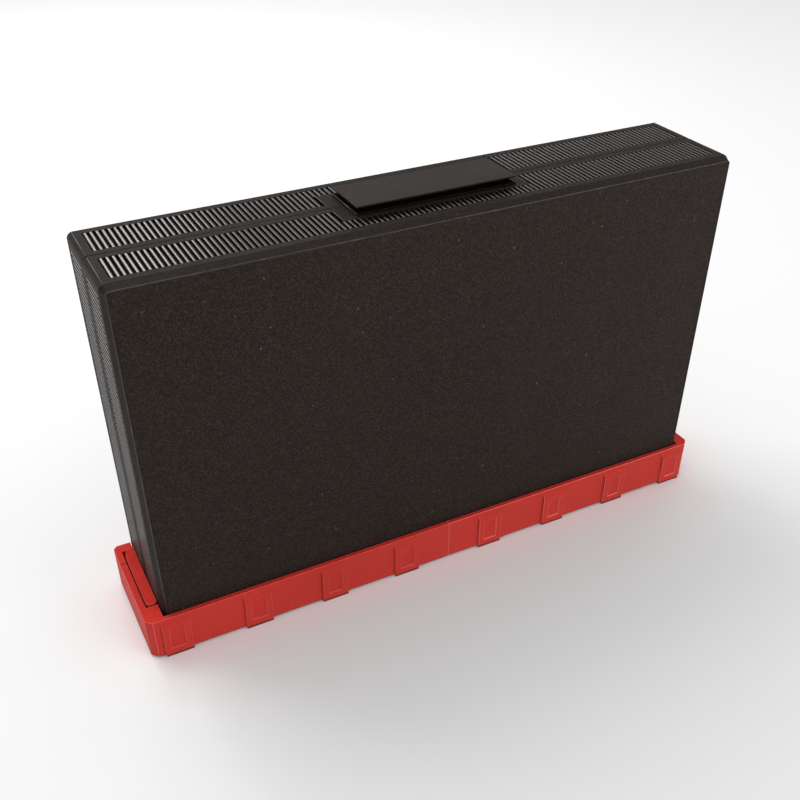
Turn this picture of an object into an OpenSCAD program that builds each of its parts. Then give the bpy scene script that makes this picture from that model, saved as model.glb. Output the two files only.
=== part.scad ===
// Miniature carry case: two shells closed by magnets and a sliding lock,
// standing on its long edge in a two-part tray.
// X runs along the case, -Y is the front face, +Z is up, the tray rests on Z = 0.

/* [Case] */
// Length of the closed case
case_w = 245; // [235:1:250]
// Thickness of the closed case
case_d = 48.8; // [46:0.2:52]
// Height of the case on its long edge
case_h = 151; // [148:1:156]
// Thickness of the shell walls
shell_wall = 2; // [1.6:0.1:2.4]
// Radius of the four corners of the case outline
corner_r = 2.4; // [1.5:0.1:4]
// Inset of the bevel round each large face
bevel_in = 1.5; // [0.8:0.1:1.6]
// Depth of the bevel round each large face
bevel_depth = 3; // [1.5:0.1:3.2]
// Gap between the two shells at the seam
seam_gap = 0.4; // [0.1:0.05:0.5]

/* [Grip panels] */
// Depth of the panels sunk into the edges
panel_depth = 0.6; // [0.4:0.1:0.8]
// Distance of the panels from the seam
panel_near = 3.1; // [2.4:0.1:4]
// Distance of the far side of the panels from the seam
panel_far = 18.4; // [16:0.1:19]
// Distance of the panels from the ends of each edge
panel_end = 4.5; // [4:0.1:8]
// Length of the plain pad that carries the lock
pad_w = 74; // [70:1:90]
// Width of the plain pad that carries the lock
pad_d = 24.4; // [22:0.2:28]

/* [Lock] */
// Length of the sliding lock
lock_w = 63.8; // [62:0.2:68]
// Width of the sliding lock
lock_d = 20.6; // [20:0.2:22]
// Height of the sliding lock
lock_h = 3.2; // [3.1:0.1:4.4]
// Depth of the finger groove round the lock
groove_in = 2; // [1.2:0.1:2.4]
// Distance that the lock slides to release the back shell
lock_travel = 14; // [13:0.5:14]

/* [Magnets] */
// Diameter of the closing magnets
magnet_d = 6; // [5:0.5:6]
// Thickness of the closing magnets
magnet_t = 2; // [1:0.5:3]
// Width of the square posts that hold the magnets
post_w = 8; // [7.6:0.1:8.4]

/* [Inside] */
// Diameter of the seats for 25 mm figure bases
seat_d = 25.6; // [25.2:0.1:25.8]
// Spacing of the seats
seat_pitch = 28; // [27.4:0.1:28]
// Number of seats along the case
seat_cols = 8; // [6:1:8]
// Number of seats up the case
seat_rows = 5; // [3:1:5]
// Thickness of the seat rack
rack_t = 2.5; // [2:0.1:3]
// Thickness of the steel sheet behind the rack
sheet_t = 0.5; // [0.3:0.1:0.8]
// Thickness of the foam liner in the front shell
liner_t = 3; // [2:0.5:5]

/* [Tray] */
// Length of the tray beyond the left end of the case
end_left = 7.5; // [7.2:0.1:9]
// Length of the tray beyond the right end of the case
end_right = 6.1; // [4:0.1:9]
// Height of the tray rim
rim_h = 18.7; // [16:0.1:22]
// Thickness of the long tray walls
tray_wall = 2.0; // [1.8:0.1:2.4]
// Thickness of the tray floor
floor_t = 4; // [3.6:0.1:5]
// Gap between the case and the long tray walls
fit_gap = 0.4; // [0.3:0.05:0.6]
// Bevel on the upright corners of the tray
tray_bevel = 2.5; // [1:0.1:3]
// Height of the clear space under the walls between the feet
foot_h = 0.8; // [0.6:0.1:1.4]

/* [Pilasters] */
// Distance of the first pilaster from the joint between the tray halves
pilaster_first = 20.2; // [16:0.1:21]
// Spacing of the pilasters on the tray walls
pilaster_pitch = 33; // [32:0.1:33.4]
// Width of each pilaster
pilaster_w = 11; // [9:0.1:12]
// Height that each pilaster stands out from the wall
pilaster_out = 0.9; // [0.6:0.1:1.2]
// Number of pilasters on each wall of a tray half
pilaster_n = 4; // [2:1:4]

/* [Clamp arm] */
// Width of the sprung clamp arm
arm_w = 4.2; // [4:0.1:4.4]
// Diameter of the pin that the arm turns on
pin_d = 2; // [1.6:0.1:2.2]

/* [Hidden] */

$fn = 64;
eps = 0.01;
half_w = case_w / 2;
half_d = case_d / 2;
case_bottom = floor_t;
case_top = case_bottom + case_h;
case_mid = case_bottom + case_h / 2;

cavity_w = case_w - 2 * shell_wall;
cavity_h = case_h - 2 * shell_wall;
cavity_y = half_d - shell_wall;
post_x = cavity_w / 2 - post_w / 2;
post_z = cavity_h / 2 - post_w / 2;
inner_post_x = seat_pitch;
magnet_play = 0.1;
magnet_sink = 0.1;

rack_play = 0.3;
lining_w = cavity_w - 2 * post_w - 1;
lining_h = cavity_h - 2 * post_w - 1;
rack_y = cavity_y - sheet_t - rack_t;

rail_y = -3.6;
rail_root = 3.2;
rail_head = 4.8;
rail_h = 1.6;
rail_x0 = -29.6;
rail_x1 = 16.4;
slot_play = 0.2;
cleat_y0 = 3.0;
cleat_y1 = 5.6;
cleat_w = 10;
cleat_x = [-21, 11];
lock_lift = 0.1;
lock_z = case_top + lock_lift;
lock_x = 0.5;
lock_end_wall = 1.4;
lock_roof_z = rail_h + slot_play - lock_lift;

tray_x0 = -half_w - end_left;
tray_x1 = half_w + end_right;
tray_y = half_d + fit_gap + tray_wall;
end_play = 0.8;
pocket_x0 = -half_w - fit_gap;
pocket_x1 = half_w + end_play;
pocket_y = half_d + fit_gap;
arm_play = 0.2;
arm_gap = 0.6;
arm_x1 = -half_w - arm_play;
arm_x0 = arm_x1 - arm_w;
arm_y0 = -16.6;
arm_y1 = 17;
arm_z0 = floor_t + 0.5;
arm_fold_y = 5.5;
arm_rise = 2.6;
arm_end_play = 0.8;
pin_x = arm_x0 + arm_w / 2;
pin_y = arm_y1 - arm_w / 2 - 0.4;
pin_z0 = 1.5;
pin_top = rim_h - 3.5;
pin_play = 0.05;

block_y0 = 10.5;
block_y1 = half_d - 2.2;
block_rise = 0.6;
block_bevel = 1.5;
block_x1 = -half_w + 0.7;

key_w = 12;
key_waist = 6;
key_len = 16;
key_t = 2;
key_y = 12;
halves_gap = 0.1;

case_colour = "#2f2a28";
tray_colour = "#b23a33";

// Outline of the case in X and Z, shrunk by inset on every side
module case_outline(inset = 0) {
    r = max(corner_r - inset, 0.6);
    for (sx = [-1, 1], sz = [-1, 1])
        translate([sx * (half_w - inset - r), case_mid + sz * (case_h / 2 - inset - r)])
            circle(r);
    translate([-half_w + inset + r, case_bottom + inset])
        square([case_w - 2 * (inset + r), case_h - 2 * inset]);
    translate([-half_w + inset, case_bottom + inset + r])
        square([case_w - 2 * inset, case_h - 2 * (inset + r)]);
}

// Plate in the XZ plane from y0 to y1
module slab_y(y0, y1) {
    translate([0, y1, 0])
        rotate([90, 0, 0])
            linear_extrude(y1 - y0)
                children();
}

// Solid half of the case on the +Y side, with the bevel round its face
module half_block() {
    slab_y(seam_gap / 2, half_d - bevel_depth)
        case_outline();
    hull() {
        slab_y(half_d - bevel_depth - eps, half_d - bevel_depth)
            case_outline();
        slab_y(half_d - eps, half_d)
            case_outline(bevel_in);
    }
}

// Places children at the eight magnet posts, in X and Z
module at_posts() {
    for (sz = [-1, 1], x = [-post_x, -inner_post_x, inner_post_x, post_x])
        translate([x, 0, case_mid + sz * post_z])
            children();
}

// Panels sunk into the top and the two ends of a shell on the +Y side
module edge_panels() {
    side = panel_far - panel_near;
    difference() {
        translate([-half_w + panel_end, panel_near, case_top - panel_depth])
            cube([case_w - 2 * panel_end, side, panel_depth + 1]);
        translate([-pad_w / 2, 0, case_top - panel_depth - 1])
            cube([pad_w, pad_d / 2, panel_depth + 3]);
    }
    for (s = [-1, 1])
        translate([s * (half_w + 0.5), panel_near + side / 2, case_mid])
            cube([1 + 2 * panel_depth, side, case_h - 2 * panel_end], center = true);
}

// One shell on the +Y side, open towards the seam
module shell_half() {
    difference() {
        half_block();
        difference() {
            translate([-cavity_w / 2, -1, case_bottom + shell_wall])
                cube([cavity_w, cavity_y + 1, cavity_h]);
            at_posts()
                translate([-post_w / 2 - eps, -2, -post_w / 2 - eps])
                    cube([post_w + 2 * eps, cavity_y + 3, post_w + 2 * eps]);
        }
        at_posts()
            rotate([-90, 0, 0])
                cylinder(d = magnet_d + 2 * magnet_play, h = seam_gap / 2 + magnet_sink + magnet_t);
        edge_panels();
    }
}

module back_shell() {
    color(case_colour) {
        shell_half();
        for (x = cleat_x)
            translate([x - cleat_w / 2, cleat_y0, case_top - eps])
                cube([cleat_w, cleat_y1 - cleat_y0, rail_h + eps]);
    }
}

// Dovetail rail along X, wider at its top by grow on every side
module dovetail(x0, x1, grow) {
    translate([x0, rail_y, case_top])
        rotate([90, 0, 90])
            linear_extrude(x1 - x0)
                polygon([[-rail_root / 2 - grow, -eps], [rail_root / 2 + grow, -eps],
                         [rail_head / 2 + grow, rail_h + grow], [-rail_head / 2 - grow, rail_h + grow]]);
}

module front_shell() {
    color(case_colour) {
        mirror([0, 1, 0])
            shell_half();
        dovetail(rail_x0, rail_x1, 0);
    }
}

module magnets() {
    color("silver")
        at_posts()
            translate([0, seam_gap / 2 + magnet_sink, 0])
                rotate([-90, 0, 0])
                    cylinder(d = magnet_d, h = magnet_t);
}

module back_magnets() {
    magnets();
}

module front_magnets() {
    mirror([0, 1, 0])
        magnets();
}

module steel_sheet() {
    color("silver")
        translate([-lining_w / 2, cavity_y - sheet_t, case_mid - lining_h / 2])
            cube([lining_w, sheet_t, lining_h]);
}

module seat_rack() {
    rack_w = cavity_w - 2 * rack_play;
    rack_h = cavity_h - 2 * rack_play;
    notch = post_w + 2 * rack_play;
    color("#3b3634")
        difference() {
            translate([-rack_w / 2, rack_y, case_mid - rack_h / 2])
                cube([rack_w, rack_t, rack_h]);
            at_posts()
                translate([-notch / 2, rack_y - 1, -notch / 2])
                    cube([notch, rack_t + 2, notch]);
            for (i = [0 : seat_cols - 1], j = [0 : seat_rows - 1])
                translate([(i - (seat_cols - 1) / 2) * seat_pitch, rack_y - 1,
                           case_mid + (j - (seat_rows - 1) / 2) * seat_pitch])
                    rotate([-90, 0, 0])
                        cylinder(d = seat_d, h = rack_t + 2);
        }
}

module foam_liner() {
    color("#4a4a4c")
        translate([-lining_w / 2, -cavity_y, case_mid - lining_h / 2])
            cube([lining_w, liner_t, lining_h]);
}

// Cross-section of the lock with its finger groove, width w, standing on zero
module grooved_profile(w) {
    lip = 0.5;
    polygon([[-w / 2, 0], [w / 2, 0], [w / 2, lip], [w / 2 - groove_in, lock_h / 2],
             [w / 2, lock_h - lip], [w / 2, lock_h], [-w / 2, lock_h], [-w / 2, lock_h - lip],
             [-w / 2 + groove_in, lock_h / 2], [-w / 2, lip]]);
}

module lock_slide() {
    window = cleat_w + 1;
    color(case_colour)
        difference() {
            intersection() {
                translate([lock_x - lock_w / 2, 0, lock_z])
                    rotate([90, 0, 90])
                        linear_extrude(lock_w)
                            grooved_profile(lock_d);
                translate([lock_x, lock_d / 2, lock_z])
                    rotate([90, 0, 0])
                        linear_extrude(lock_d)
                            grooved_profile(lock_w);
            }
            dovetail(rail_x0 - slot_play, lock_x + lock_w / 2 + 1, slot_play);
            translate([lock_x - lock_w / 2 + lock_end_wall, cleat_y0 - slot_play, lock_z - 1])
                cube([lock_w - 2 * lock_end_wall, cleat_y1 - cleat_y0 + 2 * slot_play, 1 + lock_roof_z]);
            for (x = cleat_x)
                translate([x + lock_travel - window / 2, cleat_y0, lock_z - 1])
                    cube([window, lock_d, 1 + lock_roof_z]);
        }
}

// Outline of the tray, with bevelled corners and a narrower block at its left end
module tray_outline() {
    c = tray_bevel;
    y = tray_y;
    polygon([[tray_x0 + c, -y], [tray_x1 - c, -y], [tray_x1, -y + c], [tray_x1, y - c], [tray_x1 - c, y],
             [block_x1, y], [block_x1, block_y1], [tray_x0 + block_bevel, block_y1],
             [tray_x0, block_y1 - block_bevel], [tray_x0, -y + c]]);
}

// Outline of the pocket that the case stands in, following the bevel of the case at its back left corner
module pocket_outline() {
    polygon([[pocket_x0, -pocket_y], [pocket_x1, -pocket_y], [pocket_x1, pocket_y],
             [pocket_x0 + bevel_in, pocket_y], [pocket_x0, pocket_y - bevel_depth]]);
}

// Raised step on the end wall, behind the arm's fold, with a sloped front
module end_step() {
    intersection() {
        translate([tray_x0, 0, 0])
            rotate([90, 0, 90])
                linear_extrude(pocket_x0 - tray_x0)
                    polygon([[block_y0, rim_h - 1], [block_y0, rim_h], [block_y0 + block_rise, rim_h + block_rise],
                             [tray_y, rim_h + block_rise], [tray_y, rim_h - 1]]);
        linear_extrude(rim_h + 2)
            tray_outline();
    }
}

// One pilaster on the front wall, centred on X = 0
module pilaster() {
    slope_h = 1.8;
    slope_z = rim_h - 3.6;
    frame_w = 2.6;
    frame_top = 1.4;
    panel_z0 = 3.6;
    sink = 0.5;
    difference() {
        translate([-pilaster_w / 2, -tray_y, 0])
            rotate([90, 0, 90])
                linear_extrude(pilaster_w)
                    polygon([[0.5, 0], [-pilaster_out, 0], [-pilaster_out, slope_z],
                             [0, slope_z + slope_h], [0.5, slope_z + slope_h]]);
        translate([-pilaster_w / 2 + frame_w, -tray_y - pilaster_out - 1, panel_z0])
            cube([pilaster_w - 2 * frame_w, 1 + sink, slope_z - panel_z0 - frame_top]);
    }
}

// Places children at the pilasters of the right-hand tray half, front and back
module at_pilasters() {
    for (m = [0, 1], i = [0 : pilaster_n - 1])
        mirror([0, m, 0])
            translate([pilaster_first + pilaster_pitch * i, 0, 0])
                children();
}

// The whole tray before it is split, as seen from the right-hand half
module tray_body() {
    difference() {
        union() {
            translate([0, 0, foot_h])
                linear_extrude(rim_h - foot_h)
                    tray_outline();
            translate([pocket_x0, -pocket_y + 1, 0])
                cube([tray_x1 - tray_bevel - pocket_x0, 2 * pocket_y - 2, foot_h + 1]);
            translate([tray_x0 + tray_bevel, -block_y1 + tray_bevel, 0])
                cube([end_left, 2 * block_y1 - 2 * tray_bevel, foot_h + 1]);
        }
        translate([0, 0, floor_t])
            linear_extrude(rim_h)
                pocket_outline();
    }
}

// Bow-tie key lying across the joint, widened by grow
module bow_tie(grow) {
    polygon([[-key_len / 2 - grow, -key_w / 2 - grow], [0, -key_waist / 2 - grow],
             [key_len / 2 + grow, -key_w / 2 - grow], [key_len / 2 + grow, key_w / 2 + grow],
             [0, key_waist / 2 + grow], [-key_len / 2 - grow, key_w / 2 + grow]]);
}

module at_keys() {
    for (s = [-1, 1])
        translate([0, s * key_y, floor_t - key_t])
            children();
}

// Half of the tray: side is 1 for the right and -1 for the left
module tray_half(side) {
    difference() {
        union() {
            intersection() {
                tray_body();
                translate([side > 0 ? halves_gap / 2 : -case_w - halves_gap / 2, -tray_y - 1, -1])
                    cube([case_w, 2 * tray_y + 2, rim_h + 2]);
            }
            mirror([side > 0 ? 0 : 1, 0, 0])
                at_pilasters()
                    pilaster();
        }
        at_keys()
            linear_extrude(key_t + 1)
                bow_tie(0.1);
    }
}

module tray_left() {
    slot_x1 = pocket_x0 + 1;
    color(tray_colour)
        difference() {
            union() {
                tray_half(-1);
                end_step();
            }
            translate([arm_x0 - arm_gap, arm_y0 - arm_end_play, floor_t])
                cube([slot_x1 - arm_x0 + arm_gap, arm_y1 - arm_y0 + 2 * arm_end_play, rim_h]);
            translate([pin_x, pin_y, pin_z0])
                cylinder(d = pin_d, h = floor_t);
            translate([tray_x0 - 1, block_y1, -1])
                cube([block_x1 - tray_x0 + 1, tray_y, rim_h + 2]);
        }
}

module tray_right() {
    color(tray_colour)
        tray_half(1);
}

module join_keys() {
    color(tray_colour)
        at_keys()
            linear_extrude(key_t)
                bow_tie(0);
}

// Plan of the clamp arm: round at its pivot corner, bevelled at its free end
module arm_plan() {
    nose = 1;
    translate([arm_x1 - arm_w, arm_y1 - arm_w])
        intersection() {
            square(arm_w);
            translate([arm_w, 0])
                circle(arm_w);
        }
    polygon([[arm_x0 + nose, arm_y0], [arm_x1 - nose, arm_y0], [arm_x1, arm_y0 + nose],
             [arm_x1, arm_y1 - arm_w + eps], [arm_x0, arm_y1 - arm_w + eps], [arm_x0, arm_y0 + nose]]);
}

module clamp_arm() {
    color(tray_colour)
        difference() {
            intersection() {
                translate([0, 0, arm_z0])
                    linear_extrude(rim_h + arm_rise - arm_z0)
                        arm_plan();
                translate([arm_x0 - 1, 0, 0])
                    rotate([90, 0, 90])
                        linear_extrude(arm_w + 2)
                            polygon([[arm_y0 - 1, 0], [arm_y1 + 1, 0], [arm_y1 + 1, rim_h + arm_rise],
                                     [arm_fold_y, rim_h], [arm_y0 - 1, rim_h]]);
            }
            translate([pin_x, pin_y, 0])
                cylinder(d = pin_d + 2 * pin_play, h = pin_top + 0.5);
        }
}

module arm_pin() {
    color("silver")
        translate([pin_x, pin_y, pin_z0])
            cylinder(d = pin_d, h = pin_top - pin_z0);
}

back_shell();
front_shell();
back_magnets();
front_magnets();
seat_rack();
steel_sheet();
foam_liner();
lock_slide();
tray_left();
tray_right();
join_keys();
clamp_arm();
arm_pin();
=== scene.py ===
import math

import bmesh
import bpy
from mathutils import Matrix, Vector


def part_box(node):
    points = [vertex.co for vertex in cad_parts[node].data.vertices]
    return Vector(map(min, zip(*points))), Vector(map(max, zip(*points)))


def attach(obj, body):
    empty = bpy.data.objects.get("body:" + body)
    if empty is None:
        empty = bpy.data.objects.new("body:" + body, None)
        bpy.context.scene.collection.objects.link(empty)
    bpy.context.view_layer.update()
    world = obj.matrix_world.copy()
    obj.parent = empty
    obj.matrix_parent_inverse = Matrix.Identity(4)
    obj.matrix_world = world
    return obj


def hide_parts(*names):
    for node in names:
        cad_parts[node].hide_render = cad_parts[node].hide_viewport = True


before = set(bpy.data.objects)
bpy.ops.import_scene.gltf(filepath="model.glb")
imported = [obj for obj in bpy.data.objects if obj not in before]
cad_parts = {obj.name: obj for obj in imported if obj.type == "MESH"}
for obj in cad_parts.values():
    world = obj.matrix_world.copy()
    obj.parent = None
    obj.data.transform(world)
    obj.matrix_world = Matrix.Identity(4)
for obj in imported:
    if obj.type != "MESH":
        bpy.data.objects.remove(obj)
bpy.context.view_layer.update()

MM = 0.001

# ---------------------------------------------------------------- sizes, in metres
# Boxes of the CAD nodes. The sizes below that the frame doesn't give repeat those of the part's source.
BACK_LO, BACK_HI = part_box("back_shell")
LOCK_LO, LOCK_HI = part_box("lock_slide")
LINER_LO, LINER_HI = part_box("foam_liner")

# The gap that the lock slides on, between its foot and the top of the shells.
LOCK_LIFT = 0.1 * MM

HALF_W = BACK_HI[0]
HALF_D = BACK_HI[1]
CASE_BOTTOM = BACK_LO[2]
CASE_TOP = LOCK_LO[2] - LOCK_LIFT

# Ribbed panels sunk into the top and ends of each shell, measured from the seam and the outer edges.
PANEL_DEPTH = 0.6 * MM
PANEL_NEAR = 3.1 * MM
PANEL_FAR = 18.4 * MM
PANEL_END = 4.5 * MM

# The plain pad that interrupts the top panels under the lock.
PAD_HALF_W = 37.0 * MM
PAD_HALF_D = 12.2 * MM

# The bevel round a large face, and the corners of the case.
BEVEL_IN = 1.5 * MM
BEVEL_DEPTH = 3.0 * MM
CORNER_R = 2.4 * MM
CORNER_STEPS = 4

# Printed ribs: they start inside the panel's floor and stop just under its rim.
RIB_PITCH = 2.0 * MM
RIB_W = 1.05 * MM
RIB_ROUND = 0.24 * MM
RIB_STEPS = 6
RIB_ROOT = 0.1 * MM
RIB_UNDER_RIM = 0.04 * MM
RIB_CREASE = math.radians(60.0)

# Round beads along the large faces, and finer ridges painted pale as highlights. The ridges at the ends of
# the case stand in from its ends and start near its seam. The lock's lower ridges run along the lip under its
# finger groove.
TUBE_SIDES = 6
BEAD_R = 0.2 * MM
RIDGE_R = 0.12 * MM
RIDGE_IN = 1.8 * MM
RIDGE_NEAR = 0.93 * MM
LOCK_LIP = 0.5 * MM

# Bevels that ease the sharp edges of the CAD nodes.
LOCK_EASE = 0.12 * MM
TRAY_EASE = 0.15 * MM
WELD_REACH = 0.002 * MM
FLAT_ANGLE = math.radians(0.5)
EDGE_ANGLE = math.radians(40.0)

# Heights below which shade is painted dark: under the lock's top plate and at the foot of the tray.
LOCK_SHADE_Z = LOCK_HI[2] - 0.3 * MM
GROOVE_SHADE_FADE = 0.2 * MM
FOOT_SHADE_Z = 0.8 * MM
FOOT_SHADE_FADE = 0.3 * MM

# Rounding of the foam pad's corners, and of every edge that turns by more than an angle.
FOAM_CORNER_R = 4.0 * MM
FOAM_CORNER_STEPS = 6
FOAM_EDGE_R = 0.7 * MM
FOAM_EDGE_STEPS = 3
FOAM_EDGE_ANGLE = 1.0

# Spacing of the printed layers, and of the raster lines on faces square to them.
BLACK_LAYER = 0.28 * MM
BLACK_RASTER = 0.9 * MM
RED_LAYER = 0.3 * MM
RED_RASTER = 0.8 * MM
DIAGONAL = math.radians(45.0)

BLACK = (0.0132, 0.0100, 0.0084)
WARM = (1.0, 0.82, 0.74)
PALE_SPECK = (0.33, 0.31, 0.29)
RED = (0.57, 0.033, 0.023)
# Paler red for the tray's eased edges: a painted highlight.
HIGHLIGHT_RED = (0.85, 0.2, 0.18)
CHALKY_RED = (0.72, 0.12, 0.10)
# Pale patches for polished beads and edges: partly wear, partly painted highlight.
WORN_HIGHLIGHT_STOPS = ((0.3, (0.012, 0.0105, 0.010)), (0.6, (0.03, 0.027, 0.026)), (0.75, (0.07, 0.065, 0.062)))

UP = Vector((0.0, 0.0, 1.0))
DEEP = Vector((0.0, 1.0, 0.0))

# Blender's wave texture turns through this many radians over one unit of its scaled position.
WAVE_TURN = 20.0


# ---------------------------------------------------------------- camera, light and floor
def make_camera():
    """Camera in front of the case's left half and above it, looking down at its front face and its top."""
    azimuth = math.radians(-27.14)
    elevation = math.radians(36.81)
    place = Vector((-0.16584, -0.30480, 0.29190))
    back = Vector((math.sin(azimuth) * math.cos(elevation),
                   -math.cos(azimuth) * math.cos(elevation),
                   math.sin(elevation)))
    right = Vector((math.cos(azimuth), math.sin(azimuth), 0.0))
    up = back.cross(right)
    data = bpy.data.cameras.new("camera")
    data.sensor_width = 36.0
    data.lens = 45.12
    data.shift_y = 0.0798
    data.clip_start = 0.01
    camera = bpy.data.objects.new("camera", data)
    camera.matrix_world = Matrix((
        (right.x, up.x, back.x, place.x),
        (right.y, up.y, back.y, place.y),
        (right.z, up.z, back.z, place.z),
        (0.0, 0.0, 0.0, 1.0)))
    bpy.context.collection.objects.link(camera)
    bpy.context.scene.camera = camera


def make_area_light(name, place, target, width, height, power):
    """Rectangular lamp at one place, aimed at another."""
    data = bpy.data.lights.new(name, "AREA")
    data.shape = "RECTANGLE"
    data.size = width
    data.size_y = height
    data.energy = power
    light = bpy.data.objects.new(name, data)
    light.location = place
    aim = Vector(target) - Vector(place)
    light.rotation_euler = aim.to_track_quat("-Z", "Y").to_euler()
    bpy.context.collection.objects.link(light)


def make_lights():
    """A softbox behind the case, a small window that glints on its left ribs, a fill, and a pale sky."""
    middle = (0.0, 0.0, 0.08)
    left_ribs = (-0.105, -0.011, 0.155)
    make_area_light("softbox", place=(-0.5, 0.9, 1.3), target=middle, width=0.8, height=0.8, power=7.0)
    make_area_light("window", place=(-0.067, 0.859, 0.647), target=left_ribs,
                    width=0.41, height=0.17, power=2.1)
    make_area_light("fill", place=(0.75, -1.2, 0.2), target=middle, width=0.8, height=0.8, power=7.5)
    world = bpy.data.worlds.new("studio")
    world.use_nodes = True
    background = world.node_tree.nodes["Background"]
    background.inputs["Color"].default_value = (1.0, 1.0, 1.0, 1.0)
    background.inputs["Strength"].default_value = 0.72
    bpy.context.scene.world = world
    bpy.context.scene.view_settings.view_transform = "Standard"


def make_floor():
    """Wide sheet of pale, matt paper under the tray."""
    half = 6.0
    mesh = bpy.data.meshes.new("floor")
    mesh.from_pydata([(-half, -half, 0.0), (half, -half, 0.0), (half, half, 0.0), (-half, half, 0.0)],
                     [], [(0, 1, 2, 3)])
    floor = bpy.data.objects.new("floor", mesh)
    bpy.context.collection.objects.link(floor)
    material = bpy.data.materials.new("floor_paper")
    material.use_nodes = True
    surface = material.node_tree.nodes["Principled BSDF"]
    surface.inputs["Base Color"].default_value = (0.95, 0.95, 0.95, 1.0)
    surface.inputs["Roughness"].default_value = 0.9
    mesh.materials.append(material)


# ---------------------------------------------------------------- node helpers
def times(colour, factor):
    """A colour made lighter or darker by a factor."""
    return [part * factor for part in colour]


class Shader:
    """A material under construction: adds nodes and joins their sockets."""

    def __init__(self, name, roughness, metallic=0.0, specular=0.5, tint=(1.0, 1.0, 1.0)):
        self.material = bpy.data.materials.new(name)
        self.material.use_nodes = True
        self.tree = self.material.node_tree
        self.surface = self.tree.nodes["Principled BSDF"]
        self.surface.inputs["Roughness"].default_value = roughness
        self.surface.inputs["Metallic"].default_value = metallic
        self.surface.inputs["Specular IOR Level"].default_value = specular
        self.surface.inputs["Specular Tint"].default_value = (*tint, 1.0)
        self.place = self.tree.nodes.new("ShaderNodeTexCoord").outputs["Object"]

    def node(self, kind, inputs, **settings):
        """Adds a node, with each input either joined to a socket or set to a value."""
        made = self.tree.nodes.new(kind)
        for key, value in settings.items():
            setattr(made, key, value)
        for key, value in inputs.items():
            if isinstance(value, bpy.types.NodeSocket):
                self.tree.links.new(value, made.inputs[key])
            else:
                made.inputs[key].default_value = value
        return made

    def math(self, operation, a, b=0.0):
        """One step of arithmetic on two values."""
        return self.node("ShaderNodeMath", {0: a, 1: b}, operation=operation).outputs[0]

    def scaled(self, x=1.0, y=1.0, z=1.0, turn=(0.0, 0.0, 0.0)):
        """The object's own position, stretched and turned."""
        mapping = self.node("ShaderNodeMapping", {"Vector": self.place, "Rotation": turn, "Scale": (x, y, z)})
        return mapping.outputs["Vector"]

    def noise(self, scale, detail, vector=None):
        """Cloudy noise with about this many cells a metre."""
        made = self.node("ShaderNodeTexNoise", {"Vector": vector or self.place, "Scale": scale,
                                                "Detail": detail})
        return made.outputs["Fac"]

    def lines(self, pitch, axis, distortion, vector=None):
        """Ridges that repeat every pitch metres along one axis."""
        made = self.node("ShaderNodeTexWave", {"Vector": vector or self.place,
                                               "Scale": 2 * math.pi / (WAVE_TURN * pitch),
                                               "Distortion": distortion, "Detail": 1.0,
                                               "Detail Scale": 2.0},
                         bands_direction=axis)
        return made.outputs["Fac"]

    def ramp(self, value, stops):
        """Colours at given positions along a value, and smoothly between them."""
        made = self.node("ShaderNodeValToRGB", {"Fac": value})
        ramp = made.color_ramp
        ramp.elements[0].position = stops[0][0]
        ramp.elements[0].color = (*stops[0][1], 1.0)
        ramp.elements[1].position = stops[-1][0]
        ramp.elements[1].color = (*stops[-1][1], 1.0)
        for position, colour in stops[1:-1]:
            ramp.elements.new(position).color = (*colour, 1.0)
        return made.outputs["Color"]

    def step(self, value, low, high):
        """Rises from 0 to 1 as the value goes from low to high."""
        made = self.node("ShaderNodeMapRange", {"Value": value, "From Min": low, "From Max": high})
        return made.outputs["Result"]

    def mix(self, factor, a, b):
        """Blends two colours. The mix node keeps its colours at sockets 6 and 7, and their blend at 2."""
        made = self.tree.nodes.new("ShaderNodeMix")
        made.data_type = "RGBA"
        for index, value in ((0, factor), (6, a), (7, b)):
            if isinstance(value, bpy.types.NodeSocket):
                self.tree.links.new(value, made.inputs[index])
            elif index:
                made.inputs[index].default_value = (*value, 1.0)
            else:
                made.inputs[index].default_value = value
        return made.outputs[2]

    def mix_heights(self, factor, a, b):
        """Blends two plain values. The mix node keeps them at sockets 2 and 3, and their blend at 0."""
        return self.node("ShaderNodeMix", {0: factor, 2: a, 3: b}).outputs[0]

    def along(self, axis):
        """Position along one of the object's axes, in metres."""
        return self.node("ShaderNodeSeparateXYZ", {"Vector": self.place}).outputs[axis]

    def facing(self, axis):
        """How squarely the surface faces along one object axis, from 0 to 1."""
        normal = self.tree.nodes.new("ShaderNodeTexCoord").outputs["Normal"]
        parts = self.node("ShaderNodeSeparateXYZ", {"Vector": normal})
        return self.math("ABSOLUTE", parts.outputs[axis])

    def square_to(self, axis):
        """1 where the surface is square to one object axis, otherwise 0."""
        return self.step(self.facing(axis), 0.97, 0.99)

    def in_panels(self):
        """1 on the floors of the panels sunk into the top and the ends of the case, where shade is painted;
        otherwise 0.
        """
        halfway_down = PANEL_DEPTH / 2
        low = self.math("LESS_THAN", self.along("Z"), CASE_TOP - halfway_down)
        top = self.math("MULTIPLY", self.square_to("Z"), low)
        within = self.math("LESS_THAN", self.math("ABSOLUTE", self.along("X")), HALF_W - halfway_down)
        end = self.math("MULTIPLY", self.square_to("X"), within)
        return self.math("MAXIMUM", top, end)

    def colour(self, socket):
        """Joins a colour to the surface."""
        self.tree.links.new(socket, self.surface.inputs["Base Color"])

    def spread(self, value, low, high, name):
        """Sets one of the surface's inputs, from low where the value is 0 to high where it is 1."""
        made = self.node("ShaderNodeMapRange", {"Value": value, "To Min": low, "To Max": high})
        self.tree.links.new(made.outputs["Result"], self.surface.inputs[name])

    def rough(self, value, low, high):
        """Roughness, from low where the value is 0 to high where it is 1."""
        self.spread(value, low, high, "Roughness")

    def shine(self, value, low, high):
        """Specular level, from low where the value is 0 to high where it is 1."""
        self.spread(value, low, high, "Specular IOR Level")

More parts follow.
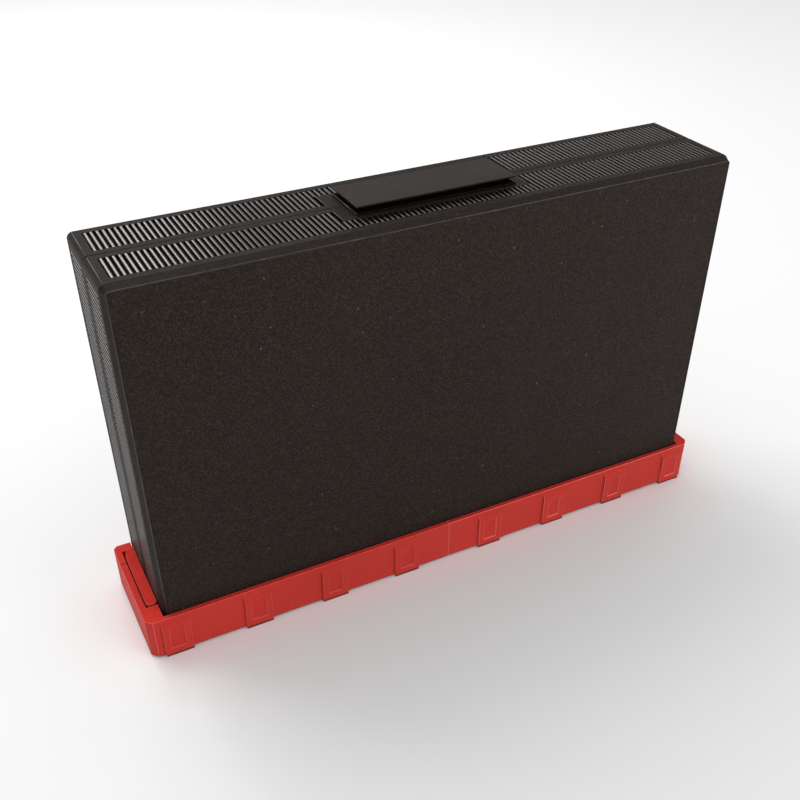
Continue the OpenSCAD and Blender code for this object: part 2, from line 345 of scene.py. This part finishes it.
    def bump(self, height, distance):
        """Relief this many metres high."""
        made = self.node("ShaderNodeBump", {"Height": height, "Distance": distance, "Strength": 1.0})
        self.tree.links.new(made.outputs["Normal"], self.surface.inputs["Normal"])


# ---------------------------------------------------------------- materials
def black_tone(shader, grain):
    """Clouded black-brown with paler grain and a few pale specks."""
    cloud = shader.noise(14.0, detail=3.0)
    tone = shader.mix(cloud, times(BLACK, 0.85), times(BLACK, 1.15))
    tone = shader.mix(shader.step(grain, 0.42, 0.72), tone, times(BLACK, 2.9))
    speck = shader.step(shader.noise(640.0, detail=0.0), 0.86, 0.9)
    return shader.mix(shader.math("MULTIPLY", speck, 0.2), tone, PALE_SPECK)


def streaked(shader, tone):
    """A tone with pale streaks drawn out along the object's length."""
    streaks = shader.noise(60.0, detail=4.0, vector=shader.scaled(0.12, 18.0, 1.0))
    return shader.mix(shader.step(streaks, 0.4, 0.75), tone, times(BLACK, 2.6))


def black_shade(shader, groove, sides):
    """1 where shade is painted nearly black: below a groove's height, or on panel floors and rib flanks."""
    if groove:
        # Painted shade: everything under the lock's top plate is painted nearly black.
        return shader.step(shader.along("Z"), groove, groove - GROOVE_SHADE_FADE)
    shade = shader.in_panels()
    # Painted shade on the flanks of ribs, the faces square to the given axis.
    if sides:
        shade = shader.math("MAXIMUM", shade, shader.step(shader.facing(sides), 0.8, 0.95))
    return shade


def black_relief(shader, stack, grain):
    """Layer lines, crossed raster lines on the faces square to the stacking axis, and grain over both."""
    layer = shader.lines(BLACK_LAYER, stack, distortion=0.6)
    turned = shader.scaled(turn=(0.0, DIAGONAL, 0.0) if stack == "Y" else (0.0, 0.0, DIAGONAL))
    across = "Z" if stack == "Y" else "Y"
    hatch = shader.math("ADD",
                        shader.lines(BLACK_RASTER, "X", distortion=0.8, vector=turned),
                        shader.lines(BLACK_RASTER, across, distortion=0.8, vector=turned))
    flat = shader.step(shader.facing(stack), 0.9, 0.98)
    height = shader.mix_heights(flat, layer, shader.math("MULTIPLY", hatch, 0.5))
    return shader.math("ADD", height, shader.math("MULTIPLY", grain, 0.8))


def black_print(name, stack="Y", roughness=0.5, specular=0.09, relief=0.1 * MM, groove=None, sides=None):
    """Matt black-brown filament, printed in layers that stack along one axis.

    The floors of the sunk panels, and faces square to the axis given as sides, such as the flanks of ribs,
    get
    painted shade: nearly black, with less shine. With a groove height given, all below it gets that shade
    instead.
    """
    shader = Shader(name, roughness, specular=specular, tint=WARM)
    grain = shader.noise(1900.0, detail=2.0)
    tone = black_tone(shader, grain)
    if groove:
        tone = streaked(shader, tone)
    shade = black_shade(shader, groove, sides)
    # Painted shade: nearly black where the shade mask is 1, with less shine there.
    shader.colour(shader.mix(shade, tone, times(BLACK, 0.2)))
    shader.shine(shade, specular, specular * 0.15)
    shader.bump(black_relief(shader, stack, grain), relief)
    shader.rough(shader.noise(60.0, detail=3.0), roughness - 0.06, roughness + 0.08)
    return shader.material


def worn_highlight_black(name, highlight_gain=1.0):
    """Polished bead along an outer edge of the black print, pale as wear and a painted highlight; a factor
    makes it paler.
    """
    shader = Shader(name, 0.3, specular=0.4)
    patches = shader.noise(260.0, detail=3.0)
    shader.colour(shader.ramp(patches, [(position, times(tone, highlight_gain)) for position, tone in WORN_HIGHLIGHT_STOPS]))
    shader.bump(patches, 0.04 * MM)
    return shader.material


def red_tone(shader, base, grain, level):
    """Clouded red, pitted on level faces, with chalky patches and painted shade at the foot."""
    cloud = shader.noise(22.0, detail=3.0)
    tone = shader.mix(cloud, times(base, 0.86), times(base, 1.12))
    pitted = shader.mix(shader.step(grain, 0.3, 0.7), times(base, 0.9), times(base, 1.5))
    tone = shader.mix(level, tone, pitted)
    chalk = shader.step(shader.noise(380.0, detail=2.0), 0.62, 0.8)
    tone = shader.mix(shader.math("MULTIPLY", chalk, 0.2), tone, CHALKY_RED)
    # Painted shade: the foot of the tray is painted dark.
    foot_shade = shader.step(shader.along("Z"), FOOT_SHADE_Z + FOOT_SHADE_FADE, FOOT_SHADE_Z)
    return shader.mix(foot_shade, tone, times(base, 0.3))


def red_relief(shader, grain, level):
    """Layer lines on the walls, raster lines on level faces, and grain over both."""
    layer = shader.lines(RED_LAYER, "Z", distortion=0.5)
    raster = shader.lines(RED_RASTER, "X", distortion=2.0, vector=shader.scaled(turn=(0.0, 0.0, DIAGONAL)))
    height = shader.mix_heights(level, layer, raster)
    return shader.math("ADD", height, shader.math("MULTIPLY", grain, 0.9))


def red_print(name, base=RED):
    """Satin red filament, printed in layers that stack upwards. Its level faces shine less."""
    shader = Shader(name, 0.48)
    grain = shader.noise(2200.0, detail=2.0)
    level = shader.step(shader.facing("Z"), 0.85, 0.97)
    shader.colour(red_tone(shader, base, grain, level))
    shader.bump(red_relief(shader, grain, level), 0.08 * MM)
    shader.rough(shader.noise(80.0, detail=2.0), 0.42, 0.58)
    shader.shine(level, 0.16, 0.03)
    return shader.material


def plated_magnet(name):
    """Bright nickel plating with fine marks."""
    shader = Shader(name, 0.2, metallic=1.0)
    marks = shader.noise(1500.0, detail=3.0)
    shader.colour(shader.ramp(marks, [(0.3, (0.55, 0.55, 0.56)), (0.7, (0.78, 0.78, 0.79))]))
    shader.rough(shader.noise(300.0, detail=2.0), 0.12, 0.3)
    return shader.material


def sheet_steel(name):
    """Rolled steel with streaks along the object's length."""
    shader = Shader(name, 0.35, metallic=1.0)
    rolled = shader.noise(40.0, detail=4.0, vector=shader.scaled(0.03, 1.0, 14.0))
    shader.colour(shader.ramp(rolled, [(0.3, (0.42, 0.43, 0.44)), (0.7, (0.6, 0.61, 0.62))]))
    shader.bump(rolled, 0.02 * MM)
    shader.rough(rolled, 0.25, 0.45)
    return shader.material


def craft_foam(name):
    """Dark closed-cell foam with fine cells."""
    shader = Shader(name, 0.9, specular=0.2)
    cells = shader.node("ShaderNodeTexVoronoi", {"Vector": shader.place, "Scale": 1100.0}).outputs["Distance"]
    shader.colour(shader.ramp(cells, [(0.0, (0.02, 0.02, 0.021)), (0.6, (0.045, 0.045, 0.047))]))
    shader.bump(cells, 0.12 * MM)
    return shader.material


def dress(node, material):
    """Gives a carried-over CAD node a new material."""
    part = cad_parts[node]
    part.data.materials.clear()
    part.data.materials.append(material)


def ease_edges(node, width, material):
    """Rounds the sharp edges of a dressed CAD node and gives them their own material, paler, as a painted
    highlight.

    The CAD mesh's triangles are joined and merged into whole faces first, so that the bevel has room.
    """
    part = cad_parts[node]
    part.data.materials.append(material)
    weld = part.modifiers.new("join", "WELD")
    weld.merge_threshold = WELD_REACH
    plain = part.modifiers.new("plain", "DECIMATE")
    plain.decimate_type = "DISSOLVE"
    plain.angle_limit = FLAT_ANGLE
    bevel = part.modifiers.new("ease", "BEVEL")
    bevel.width = width
    bevel.segments = 2
    bevel.limit_method = "ANGLE"
    bevel.angle_limit = EDGE_ANGLE
    bevel.use_clamp_overlap = True
    bevel.material = 1


# ---------------------------------------------------------------- pieces
def add_piece(name, made, material, body):
    """Turns a bmesh into a smooth piece that rides on a body."""
    mesh = bpy.data.meshes.new(name)
    made.to_mesh(mesh)
    made.free()
    mesh.materials.append(material)
    for polygon in mesh.polygons:
        polygon.use_smooth = True
    piece = bpy.data.objects.new(name, mesh)
    bpy.context.collection.objects.link(piece)
    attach(piece, body)
    return piece


def add_black_piece(name, verts, faces, material, body):
    """A piece of black print from lists of points and faces."""
    made = bmesh.new()
    corners = [made.verts.new(point) for point in verts]
    for face in faces:
        made.faces.new([corners[i] for i in face])
    bmesh.ops.recalc_face_normals(made, faces=made.faces)
    return add_piece(name, made, material, body)


def rib_section():
    """Outline of a rib across its width and height, with rounded upper edges."""
    half = RIB_W / 2
    top = PANEL_DEPTH - RIB_UNDER_RIM
    outline = [(half, -RIB_ROOT)]
    for i in range(RIB_STEPS + 1):
        turn = math.radians(90.0 * i / RIB_STEPS)
        outline.append((half - RIB_ROUND + RIB_ROUND * math.cos(turn),
                        top - RIB_ROUND + RIB_ROUND * math.sin(turn)))
    return outline + [(-u, v) for u, v in reversed(outline)]


def add_rib(verts, faces, at, near, far):
    """Adds one rib; at(u, v, w) turns the width, height and run along the rib into a point."""
    section = rib_section()
    start = len(verts)
    n = len(section)
    for run in (near, far):
        verts.extend(at(u, v, run) for u, v in section)
    faces.extend((start + i, start + (i + 1) % n, start + n + (i + 1) % n, start + n + i) for i in range(n))
    faces.append(tuple(start + i for i in range(n)))
    faces.append(tuple(start + n + i for i in reversed(range(n))))


def rib_places(low, high):
    """Centres of the ribs between two ends of a panel, spaced evenly about its middle."""
    count = int((high - low) / RIB_PITCH)
    middle = (low + high) / 2
    return [middle + (i - (count - 1) / 2) * RIB_PITCH for i in range(count)]


def make_ribs(name, ribs, body, material):
    """One piece from ribs that come one at a time: each the turn into place, its near end and its far end."""
    verts, faces = [], []
    for at, near, far in ribs:
        add_rib(verts, faces, at, near, far)
    piece = add_black_piece(name, verts, faces, material, body)
    piece.data.set_sharp_from_angle(angle=RIB_CREASE)


def top_ribs(side):
    """The ribs in the sunk panel on top of one shell: side is 1 for the back and -1 for the front."""
    floor = CASE_TOP - PANEL_DEPTH
    for x in rib_places(-HALF_W + PANEL_END, HALF_W - PANEL_END):
        near = PAD_HALF_D if abs(x) < PAD_HALF_W + RIB_W / 2 else PANEL_NEAR
        yield lambda u, v, w: (x + u, side * w, floor + v), near, PANEL_FAR


def end_ribs(side):
    """The ribs in the sunk panels on both ends of one shell."""
    wall = HALF_W - PANEL_DEPTH
    for end in (-1, 1):
        for z in rib_places(CASE_BOTTOM + PANEL_END, CASE_TOP - PANEL_END):
            yield lambda u, v, w: (end * (wall + v), side * w, z + u), PANEL_NEAR, PANEL_FAR


def tube_ring(point, along, radius):
    """Points of a ring round a path that runs along a direction."""
    across = along.cross(UP)
    nearly_upright = across.length < 0.1
    if nearly_upright:
        across = along.cross(DEEP)
    across.normalize()
    lift = across.cross(along)
    turns = [2 * math.pi * k / TUBE_SIDES for k in range(TUBE_SIDES)]
    return [point + (across * math.cos(turn) + lift * math.sin(turn)) * radius for turn in turns]


def add_tube(verts, faces, path, radius, closed=False):
    """Adds a round bead along a path of points."""
    start = len(verts)
    count = len(path)
    sides = range(TUBE_SIDES)
    for i, point in enumerate(path):
        before = path[i - 1] if closed or i else path[i]
        after = path[(i + 1) % count] if closed or i + 1 < count else path[i]
        verts.extend(tube_ring(point, (after - before).normalized(), radius))
    for i in range(count if closed else count - 1):
        a = start + i * TUBE_SIDES
        b = start + ((i + 1) % count) * TUBE_SIDES
        faces.extend((a + k, a + (k + 1) % TUBE_SIDES, b + (k + 1) % TUBE_SIDES, b + k) for k in sides)
    if not closed:
        last = start + (count - 1) * TUBE_SIDES
        faces.append(tuple(start + k for k in sides))
        faces.append(tuple(last + k for k in reversed(sides)))


def face_outline(y):
    """The rounded outline of a large face, inside its bevel."""
    radius = CORNER_R - BEVEL_IN
    x_max = HALF_W - BEVEL_IN - radius
    z_min = CASE_BOTTOM + BEVEL_IN + radius
    z_max = CASE_TOP - BEVEL_IN - radius
    points = []
    for quarter, (cx, cz) in enumerate(((x_max, z_max), (-x_max, z_max), (-x_max, z_min), (x_max, z_min))):
        for i in range(CORNER_STEPS + 1):
            turn = math.radians(90.0 * (quarter + i / CORNER_STEPS))
            points.append(Vector((cx + radius * math.cos(turn), y, cz + radius * math.sin(turn))))
    return points


def make_bead(name, side, body, material):
    """The squeezed first layer round a large face."""
    verts, faces = [], []
    add_tube(verts, faces, face_outline(side * HALF_D), BEAD_R, closed=True)
    add_black_piece(name, verts, faces, material, body)


def make_ridges(name, side, body, material):
    """Fine ridges painted pale as highlights on one shell's top, where its ends round over and at the ends of
    the lock's pad.
    """
    case_end = (HALF_W - RIDGE_IN, RIDGE_NEAR, HALF_D - BEVEL_DEPTH)
    pad_end = (PAD_HALF_W, PANEL_NEAR, PAD_HALF_D)
    z = CASE_TOP - RIDGE_R / 2
    verts, faces = [], []
    for end in (-1, 1):
        for x, near, far in (case_end, pad_end):
            add_tube(verts, faces, [Vector((end * x, side * y, z)) for y in (near, far)], RIDGE_R)
    add_black_piece(name, verts, faces, material, body)


def make_lock_edges(material):
    """Polished edges painted pale as highlights across the ends of the lock, on its top and on the lip under
    its finger groove.
    """
    verts, faces = [], []
    for z in (LOCK_HI[2] - RIDGE_R, LOCK_LO[2] + LOCK_LIP):
        for x in (LOCK_LO[0] + RIDGE_R, LOCK_HI[0] - RIDGE_R):
            edge = [Vector((x, LOCK_LO[1] + RIDGE_R, z)), Vector((x, LOCK_HI[1] - RIDGE_R, z))]
            add_tube(verts, faces, edge, RIDGE_R)
    add_black_piece("lock_edges", verts, faces, material, "lock")


def make_liner(material):
    """Craft foam pad with soft cut edges, in the space of the CAD liner."""
    size = LINER_HI - LINER_LO
    middle = (LINER_LO + LINER_HI) / 2
    made = bmesh.new()
    bmesh.ops.create_cube(made, size=1.0)
    for v in made.verts:
        v.co = Vector((v.co.x * size.x, v.co.y * size.y, v.co.z * size.z)) + middle
    corners = [e for e in made.edges if abs(e.verts[0].co.y - e.verts[1].co.y) > size.y / 2]
    bmesh.ops.bevel(made, geom=corners, offset=FOAM_CORNER_R, segments=FOAM_CORNER_STEPS, affect="EDGES")
    rim = [e for e in made.edges if len(e.link_faces) == 2 and e.calc_face_angle() > FOAM_EDGE_ANGLE]
    bmesh.ops.bevel(made, geom=rim, offset=FOAM_EDGE_R, segments=FOAM_EDGE_STEPS, affect="EDGES")
    pad = add_piece("foam_pad", made, material, "case_front")
    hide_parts("foam_liner")


# ---------------------------------------------------------------- the scene
make_camera()
make_lights()
make_floor()

shell_black = black_print("shell_black")
rib_black = black_print("rib_black", roughness=0.1, specular=0.35, relief=0.006 * MM)
# The flanks of the end ribs, square to Z, get painted shade.
end_black = black_print("end_black", roughness=0.24, specular=0.24, relief=0.012 * MM, sides="Z")
# Under its top plate the lock gets painted shade.
lock_black = black_print("lock_black", stack="Z", groove=LOCK_SHADE_Z)
tray_red = red_print("tray_red")
# Paler red on the tray's eased edges: a painted highlight.
red_edge_highlight = red_print("red_edge_highlight", base=HIGHLIGHT_RED)
# Beads and the lock's eased edges: a paler black, partly wear and partly painted highlight.
bead_black = worn_highlight_black("bead_black")
# Five times paler: a painted highlight on the fine ridges and the lock's edges.
edge_highlight_black = worn_highlight_black("edge_highlight_black", highlight_gain=5.0)

for name in ("back_shell", "front_shell", "seat_rack"):
    dress(name, shell_black)
dress("lock_slide", lock_black)
ease_edges("lock_slide", LOCK_EASE, bead_black)
for name in ("tray_left", "tray_right", "clamp_arm"):
    dress(name, tray_red)
    ease_edges(name, TRAY_EASE, red_edge_highlight)
dress("join_keys", tray_red)
for name in ("back_magnets", "front_magnets"):
    dress(name, plated_magnet(name + "_plate"))
dress("steel_sheet", sheet_steel("rolled_sheet"))
dress("arm_pin", sheet_steel("pin_wire"))

for shell, side in (("back", 1), ("front", -1)):
    make_ribs(shell + "_top_ribs", top_ribs(side), "case_" + shell, rib_black)
    make_ribs(shell + "_end_ribs", end_ribs(side), "case_" + shell, end_black)
    make_bead(shell + "_bead", side, "case_" + shell, bead_black)
    make_ridges(shell + "_ridges", side, "case_" + shell, edge_highlight_black)
make_lock_edges(edge_highlight_black)
make_liner(craft_foam("liner_foam"))
